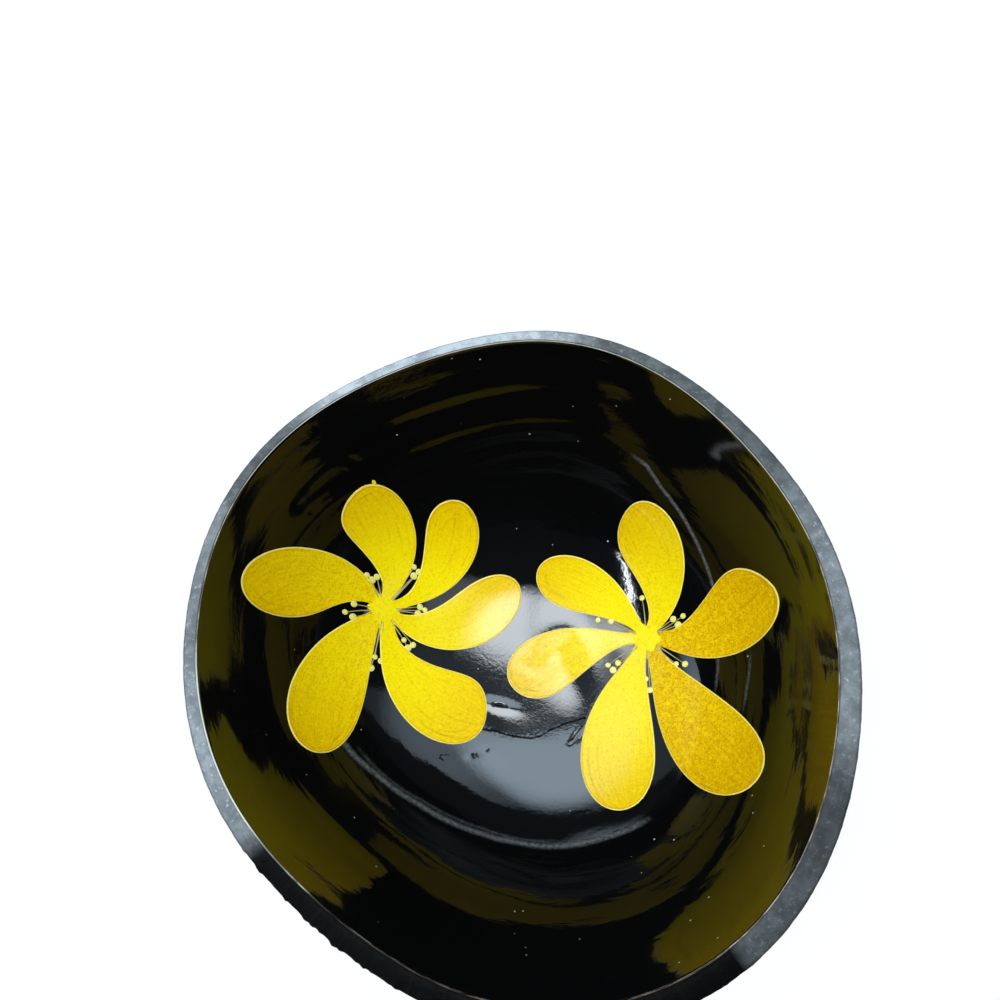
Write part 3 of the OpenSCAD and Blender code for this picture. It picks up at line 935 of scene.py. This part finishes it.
# The petals of a flower as closed sheets of paint: over each place the root of the distance to the
# edge times the thickness, with a ridge along the edge. Then the heart and the drips, as domes
def makePetals(name, flower, finish, settings):
    # rows stand closer near the tip and columns at the sides, so that they stay round
    share = 1 - (1 - np.linspace(0, 1, settings["rows"])) ** 1.7
    share[-1] = settings["tip"]
    across = np.sin(np.linspace(-1, 1, settings["columns"]) * np.pi / 2)
    share, across = np.meshgrid(share, across, indexing="ij")
    pointSets, faceSets = [], []
    values = {key: [] for key in ("edge", "along", "tint", "wet", "brush", "outlines")}
    base = 0
    for number, row in enumerate(flower["petals"]):
        x, y = petalPlaces(flower["centre"], row, share, across)
        lineX = np.concatenate([x[:, 0], x[-1], x[::-1, -1]])
        lineY = np.concatenate([y[:, 0], y[-1], y[::-1, -1]])
        edge = nearest(x, y, lineX, lineY)
        far = np.hypot(x - flower["centre"][0], y - flower["centre"][1])
        out = np.clip(far / settings["full"], 0, 1)
        thick = settings["thickness"] * (1 + settings["thicker"] * number) * (0.4 + 0.6 * out)
        body = np.sqrt(np.clip(edge / settings["rounded"], 0, 1)) * thick
        ridge, inward, width = settings["ridge"]
        body += ridge * np.exp(-((edge - inward) / width) ** 2) * out - settings["sink"]
        edge = edge + 3 * np.clip(1 - far / 6, 0, 1)  # no outline at the heart
        top = glossOver(x, y, body)
        low = glossOver(x, y, np.full_like(x, -settings["sink"] - settings["under"]))
        pointSets += [top.reshape(-1, 3), low.reshape(-1, 3)]
        faceSets += (np.array(sheetFaces(*x.shape)) + base).tolist()
        base += x.size * 2
        # where the noise is read: along the petal for strokes, and along its edge for lines
        flat = 0 * share
        brush = np.stack([across * 11 + number * 9, share * 2.6, flat + number * 3.7], -1)
        lines = np.stack([edge * 3.2, share * 2.5 + across * 0.7, flat + number * 5.3], -1)
        for key, numbers in {
            "edge": edge,
            "along": share,
            # the petal's tint, partly painted shade
            "tint": flat + flower["amberAndShadeTints"][number],
            "wet": flat + flower["wet"][number],
        }.items():
            values[key] += [numbers.ravel()] * 2
        values["brush"] += [brush.reshape(-1, 3)] * 2
        values["outlines"] += [lines.reshape(-1, 3)] * 2
    # the heart: a low dome that joins the petals' bases; small ones are drips of paint
    domes = [(flower["centre"], settings["heart"])]
    domes += [(place, settings["drip"]) for place in flower["drips"]]
    for place, (radius, height, lobes) in domes:
        sizes = settings["domeRings"], settings["domeSides"]
        heart, faces = makeDome(place, radius, height, *sizes, lobes)
        pointSets.append(heart)
        faceSets += [[corner + base for corner in face] for face in faces]
        base += len(heart)
        values["edge"].append(np.full(len(heart), 3.0))
        values["along"].append(np.zeros(len(heart)))
        values["tint"].append(np.zeros(len(heart)))
        values["wet"].append(np.full(len(heart), 0.1))
        values["brush"].append(heart * [0.9, 0.4, 0])
        values["outlines"].append(heart * [1.1, 0.5, 0])
    return makePiece(
        name,
        np.concatenate(pointSets),
        faceSets,
        finish,
        {key: np.concatenate(numbers) for key, numbers in values.items()},
    )


paintFinish = makePaintFinish(paint)
for side in ("left", "right"):
    petals = makePetals(side + "Petals", flowers[side], paintFinish, paint)
    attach(petals, "root")
    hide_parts(side + "_flower_petals")

# The stamens: round dots in the gaps between the petals, on fine filaments from the heart
stamens = {
    "dot": 0.68,  # mean radius, in mm
    "dotSpread": 0.14,
    "dotHeight": 0.15,
    "dotRings": 10,
    "dotSides": 26,
    "filament": 0.15,  # half width at the heart, in mm
    "filamentHeight": 0.14,
    "rows": 16,
    "columns": 7,
    "bow": 0.12,  # how far the filaments bow aside, in mm
    "start": 2.6,  # distance from the flower's centre where filaments start, in mm
    "pale": shade(240, 230, 132),
    "cream": shade(176, 160, 96),
    "yellow": shade(232, 208, 40),
}


# Places on the gloss that pixels of the frame look at: along each ray to the height of the
# surface under the last place, over and over
def placesUnder(pixels):
    start, right, top, behind = [np.array(vector) for vector in cameraFrame(view)]
    off = (np.array(pixels, float) - view["frame"] / 2) / view["focal"]
    ray = off[:, :1] * right - off[:, 1:] * top - behind
    height = np.full(len(ray), 8.0)
    for step in range(12):
        reach = (height - start[2]) / ray[:, 2]
        place = start + ray * reach[:, None]
        height = glossOver(place[:, 0], place[:, 1], 0.0)[:, 2]
    return place


# Pale paint with a yellow ring in each dot, and duller filaments
def makeStamenFinish(settings):
    finish = Finish("palePaint")
    place = finish.objectPlace()
    middle = finish.field("middle")
    spots = finish.noise(place, 1200.0, 3.0, 0.6)
    cloud = finish.noise(place, 500.0, 3.0, 0.6)
    ring = middle.ramp(0.25, 0.5) * (1 - middle.ramp(0.6, 0.85))
    yellow = ring * 0.5 + 0.35 * cloud.ramp(0.5, 0.7)
    colour = finish.blend(yellow, settings["pale"], settings["yellow"])
    colour = finish.blend(1 - finish.field("dot"), colour, settings["cream"])
    normal = finish.bumpNormal(spots * 0.6 + cloud * 0.4, 0.0001, 0.5)
    return finish.surface({
        "Base Color": colour,
        "Roughness": 0.28 + 0.2 * spots,
        "Normal": normal,
        "Coat Weight": 0.6,
        "Coat Roughness": 0.08,
    })


# A filament: a narrow strip along a line that bows a little, half as wide at its far end, its
# height the root of 1 less the squared share across
def makeFilament(start, end, bow, settings):
    steps = np.linspace(0, 1, settings["rows"]), np.linspace(-1, 1, settings["columns"])
    run, across = np.meshgrid(*steps, indexing="ij")
    way = np.array(end) - np.array(start)
    side = np.array([-way[1], way[0]]) / np.hypot(*way)
    half = settings["filament"] * (1 - 0.5 * run) * across
    off = bow * np.sin(np.pi * run) + half
    x, y = start[0] + way[0] * run + side[0] * off, start[1] + way[1] * run + side[1] * off
    body = settings["filamentHeight"] * np.sqrt(1.02 - across ** 2)
    high = glossOver(x, y, body - paint["sink"])
    low = glossOver(x, y, np.full_like(x, -paint["sink"] - paint["under"]))
    # the strip's columns run to the left of its way, as a petal's do
    return np.concatenate([high.reshape(-1, 3), low.reshape(-1, 3)]), sheetFaces(*x.shape)


# The stamens of a flower: a dome for each dot, of three sizes in turn, and its filament
def makeStamens(name, flower, finish, settings):
    pointSets, faceSets, middles, dots = [], [], [], []
    base = 0
    rings, sides = settings["dotRings"], settings["dotSides"]
    steps = np.repeat(np.linspace(0, 1, rings + 1)[1:], sides)
    middle = np.append(steps, [1] * sides + [0, 0])
    centre = np.array(flower["centre"])
    for group in flower["anthers"]:
        for number, place in enumerate(placesUnder(group)):
            radius = settings["dot"] * (1 + settings["dotSpread"] * (number % 3 - 1))
            points, faces = makeDome(place[:2], radius, settings["dotHeight"], rings, sides)
            away = place[:2] - centre
            start = centre + away / np.hypot(*away) * settings["start"]
            bow = settings["bow"] * (number - 1)
            line, strip = makeFilament(start, place[:2], bow, settings)
            parts = (points, faces, middle, 1), (line, strip, line[:, 0] * 0, 0)
            for part, corners, mids, kind in parts:
                pointSets.append(part)
                faceSets += [[corner + base for corner in face] for face in corners]
                middles.append(mids)
                dots.append(np.full(len(part), float(kind)))
                base += len(part)
    return makePiece(
        name,
        np.concatenate(pointSets),
        faceSets,
        finish,
        {"middle": np.concatenate(middles), "dot": np.concatenate(dots)},
    )


stamenFinish = makeStamenFinish(stamens)
for side in ("left", "right"):
    piece = makeStamens(side + "Stamens", flowers[side], stamenFinish, stamens)
    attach(piece, "root")
    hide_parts(side + "_flower_stamens")

# The floor: pale, shown as white to the camera and in reflections, with the bowl's shadow kept
stage = {
    "radius": 6000,  # in mm
    "sides": 64,
    "colour": (0.9, 0.9, 0.9),
    "shown": 0.9,  # how much of it is plain white to camera, gloss and glass
}


# A round sheet: matt to the light, and mixed with plain white for the rays that see it
def makeFloor(settings):
    turn = np.linspace(0, 2 * np.pi, settings["sides"], endpoint=False)
    points = np.stack([np.cos(turn), np.sin(turn), turn * 0], -1) * settings["radius"]
    finish = Finish("floorPaint")
    seen = finish.node("LightPath", {}, {}, "Is Camera Ray")
    for ray in ("Is Glossy Ray", "Is Transmission Ray"):
        seen = seen + finish.node("LightPath", {}, {}, ray)
    seen = seen.limit()
    matt = finish.node("BsdfDiffuse", {}, {"Color": (*settings["colour"], 1)})
    glow = finish.node("Emission", {}, {"Color": (1, 1, 1, 1), "Strength": 1.0})
    mixed = finish.node("MixShader", {}, {0: seen * settings["shown"], 1: matt, 2: glow})
    finish.node("OutputMaterial", {}, {0: mixed}, None)
    makePiece("floor", points, [list(range(settings["sides"]))], finish.material)


makeFloor(stage)

# The light: a studio dome. Over the bowl and to the back its sky opens up to two straight edges, a
# dark bar crosses it near the top, a bright window lies in front of the bar, and the rest is dark
dome = {
    "horizon": 0.6,  # level of the sides at the horizon, higher up, and towards the front
    "above": 0.05,
    "front": 0.05,
    "frontAim": (-0.14, -0.99, 0),
    "tint": (0.78, 0.99, 1.16),  # of the sky and the sides
    "lampTint": (0.92, 1.0, 1.06),  # of the window, the strip and the far patches
    "sky": 0.35,
    # an edge is the way square to it, and how soft it is
    "back": [((0, -0.773, 0.634), 0.012), ((-0.144, -0.757, 0.636), 0.012)],
    "skyPatches": [  # azimuth, height above the horizon, inner and outer radius in degrees, level
        (105, 72, 5, 24, 4.2),
        (35, 58, 8, 26, 1.0),
    ],
    "bar": ((-0.0745, 0.992, -0.101), 0.008),
    "barLevel": 0.32,
    "window": ((-0.335, -0.94, 0.038), 0.015),
    "windowSides": [((0, 0.944, 0.331), 0.02), ((-0.982, 0, 0.188), 0.02), ((0.8, 0, 0.6), 0.02)],
    "windowLevel": 1.9,
    "windowPatches": [(-105, 82.5, 4, 11.7, 8.8), (-157, 71.6, 2.4, 6.8, 4.7)],
    "farLamps": [(-50, 57, 6, 11, 1.2), (-36, 5, 2, 9, 0.9)],
    "lowPatches": [
        (-22, 12, 8, 30, 2.6),
        (108, 10, 8, 26, 3.0),
        (175, 14, 8, 34, 3.0),
    ],
    # a bright strip: the way square to it, and the way that it leads to
    "strip": (0.85, -0.39, 0.353),
    "stripEnd": (-0.449, -0.888, 0.1),
    "stripWidth": 0.014,
    "stripLevel": 31.0,
}


# The dome's level on each way is a sum of the sky, the bar, the sides and the lamps, each kept
# inside its edges; the camera itself sees plain white
def makeDomeLight(settings):
    world = bpy.data.worlds.new("studio")
    world.use_nodes = True
    bpy.context.scene.world = world
    light = Finish(world)
    way = light.node("TexCoord", {}, {}, "Generated")

    # the cosine between a way into the dome and an aim
    def toward(aim):
        return light.node("VectorMath", {"operation": "DOT_PRODUCT"}, {0: way, 1: aim}, "Value")

    # 1 on the side of each edge that its square way points to, 0 on the other
    def beyond(edges):
        inside = 1
        for edge, soft in edges:
            inside = toward(edge).ramp(-soft, soft) * inside
        return inside

    # round patches: their level inside the inner radius, and nothing outside the outer one
    def patches(rows):
        level = 0
        for azimuth, height, inner, outer, strength in rows:
            turn, rise = np.radians([azimuth, height])
            aim = [np.cos(rise) * np.cos(turn), np.cos(rise) * np.sin(turn), np.sin(rise)]
            far, near = [float(np.cos(np.radians(radius))) for radius in (outer, inner)]
            level = toward([float(part) for part in aim]).ramp(far, near) * strength + level
        return level

    up = toward((0, 0, 1))
    high = up.ramp(0.2, 0.3)
    behind = beyond([settings["bar"]])
    ahead = beyond([settings["window"]]) * (1 - behind)
    sky = (patches(settings["skyPatches"]) + settings["sky"]) * beyond(settings["back"]) * behind
    bar = (1 - behind) * (1 - ahead) * settings["barLevel"] * up.ramp(0.8, 0.92)
    sides = settings["horizon"] + up.ramp(0.2, 0.4) * (settings["above"] - settings["horizon"])
    sides = sides + patches(settings["lowPatches"])
    front = toward(settings["frontAim"]).ramp(0.3, 0.75) * up.ramp(-0.02, 0.06)
    sides = sides + front * (settings["front"] - sides)
    window = patches(settings["windowPatches"]) + settings["windowLevel"]
    window = window * beyond(settings["windowSides"])
    off = toward(settings["strip"])
    line = 1 - (off * off).ramp(0.3 * settings["stripWidth"] ** 2, settings["stripWidth"] ** 2)
    line = line * toward(settings["stripEnd"]).ramp(0.38, 0.52) * up.ramp(0.0, 0.08)
    lamps = window * ahead + line * settings["stripLevel"] + patches(settings["farLamps"])

    def glow(colour, level):
        return light.node("Background", {}, {"Color": (*colour, 1), "Strength": level})

    tinted = glow(settings["tint"], (sky + bar) * high + sides)
    both = light.node("AddShader", {}, {0: tinted, 1: glow(settings["lampTint"], lamps)})
    plain = glow((1, 1, 1), 1.0)
    seen = light.node("LightPath", {}, {}, "Is Camera Ray")
    shown = light.node("MixShader", {}, {0: seen, 1: both, 2: plain})
    light.node("OutputWorld", {}, {0: shown}, None)


makeDomeLight(dome)

# A soft lamp over the mouth that lights the colours and leaves no picture of itself in the gloss
fill = {
    "place": (120, -210, 600),  # in mm
    "size": 420,
    "power": 0.96,  # in watts
}


# A round lamp that points at the base's centre
def makeFill(settings):
    data = bpy.data.lights.new("fill", "AREA")
    data.shape = "DISK"
    data.size = settings["size"] * mm
    data.energy = settings["power"]
    lamp = bpy.data.objects.new("fill", data)
    lamp.location = Vector(settings["place"]) * mm
    lamp.rotation_euler = Vector(settings["place"]).to_track_quat("Z", "Y").to_euler()
    lamp.visible_glossy = False
    bpy.context.scene.collection.objects.link(lamp)


makeFill(fill)
print("scene: light")
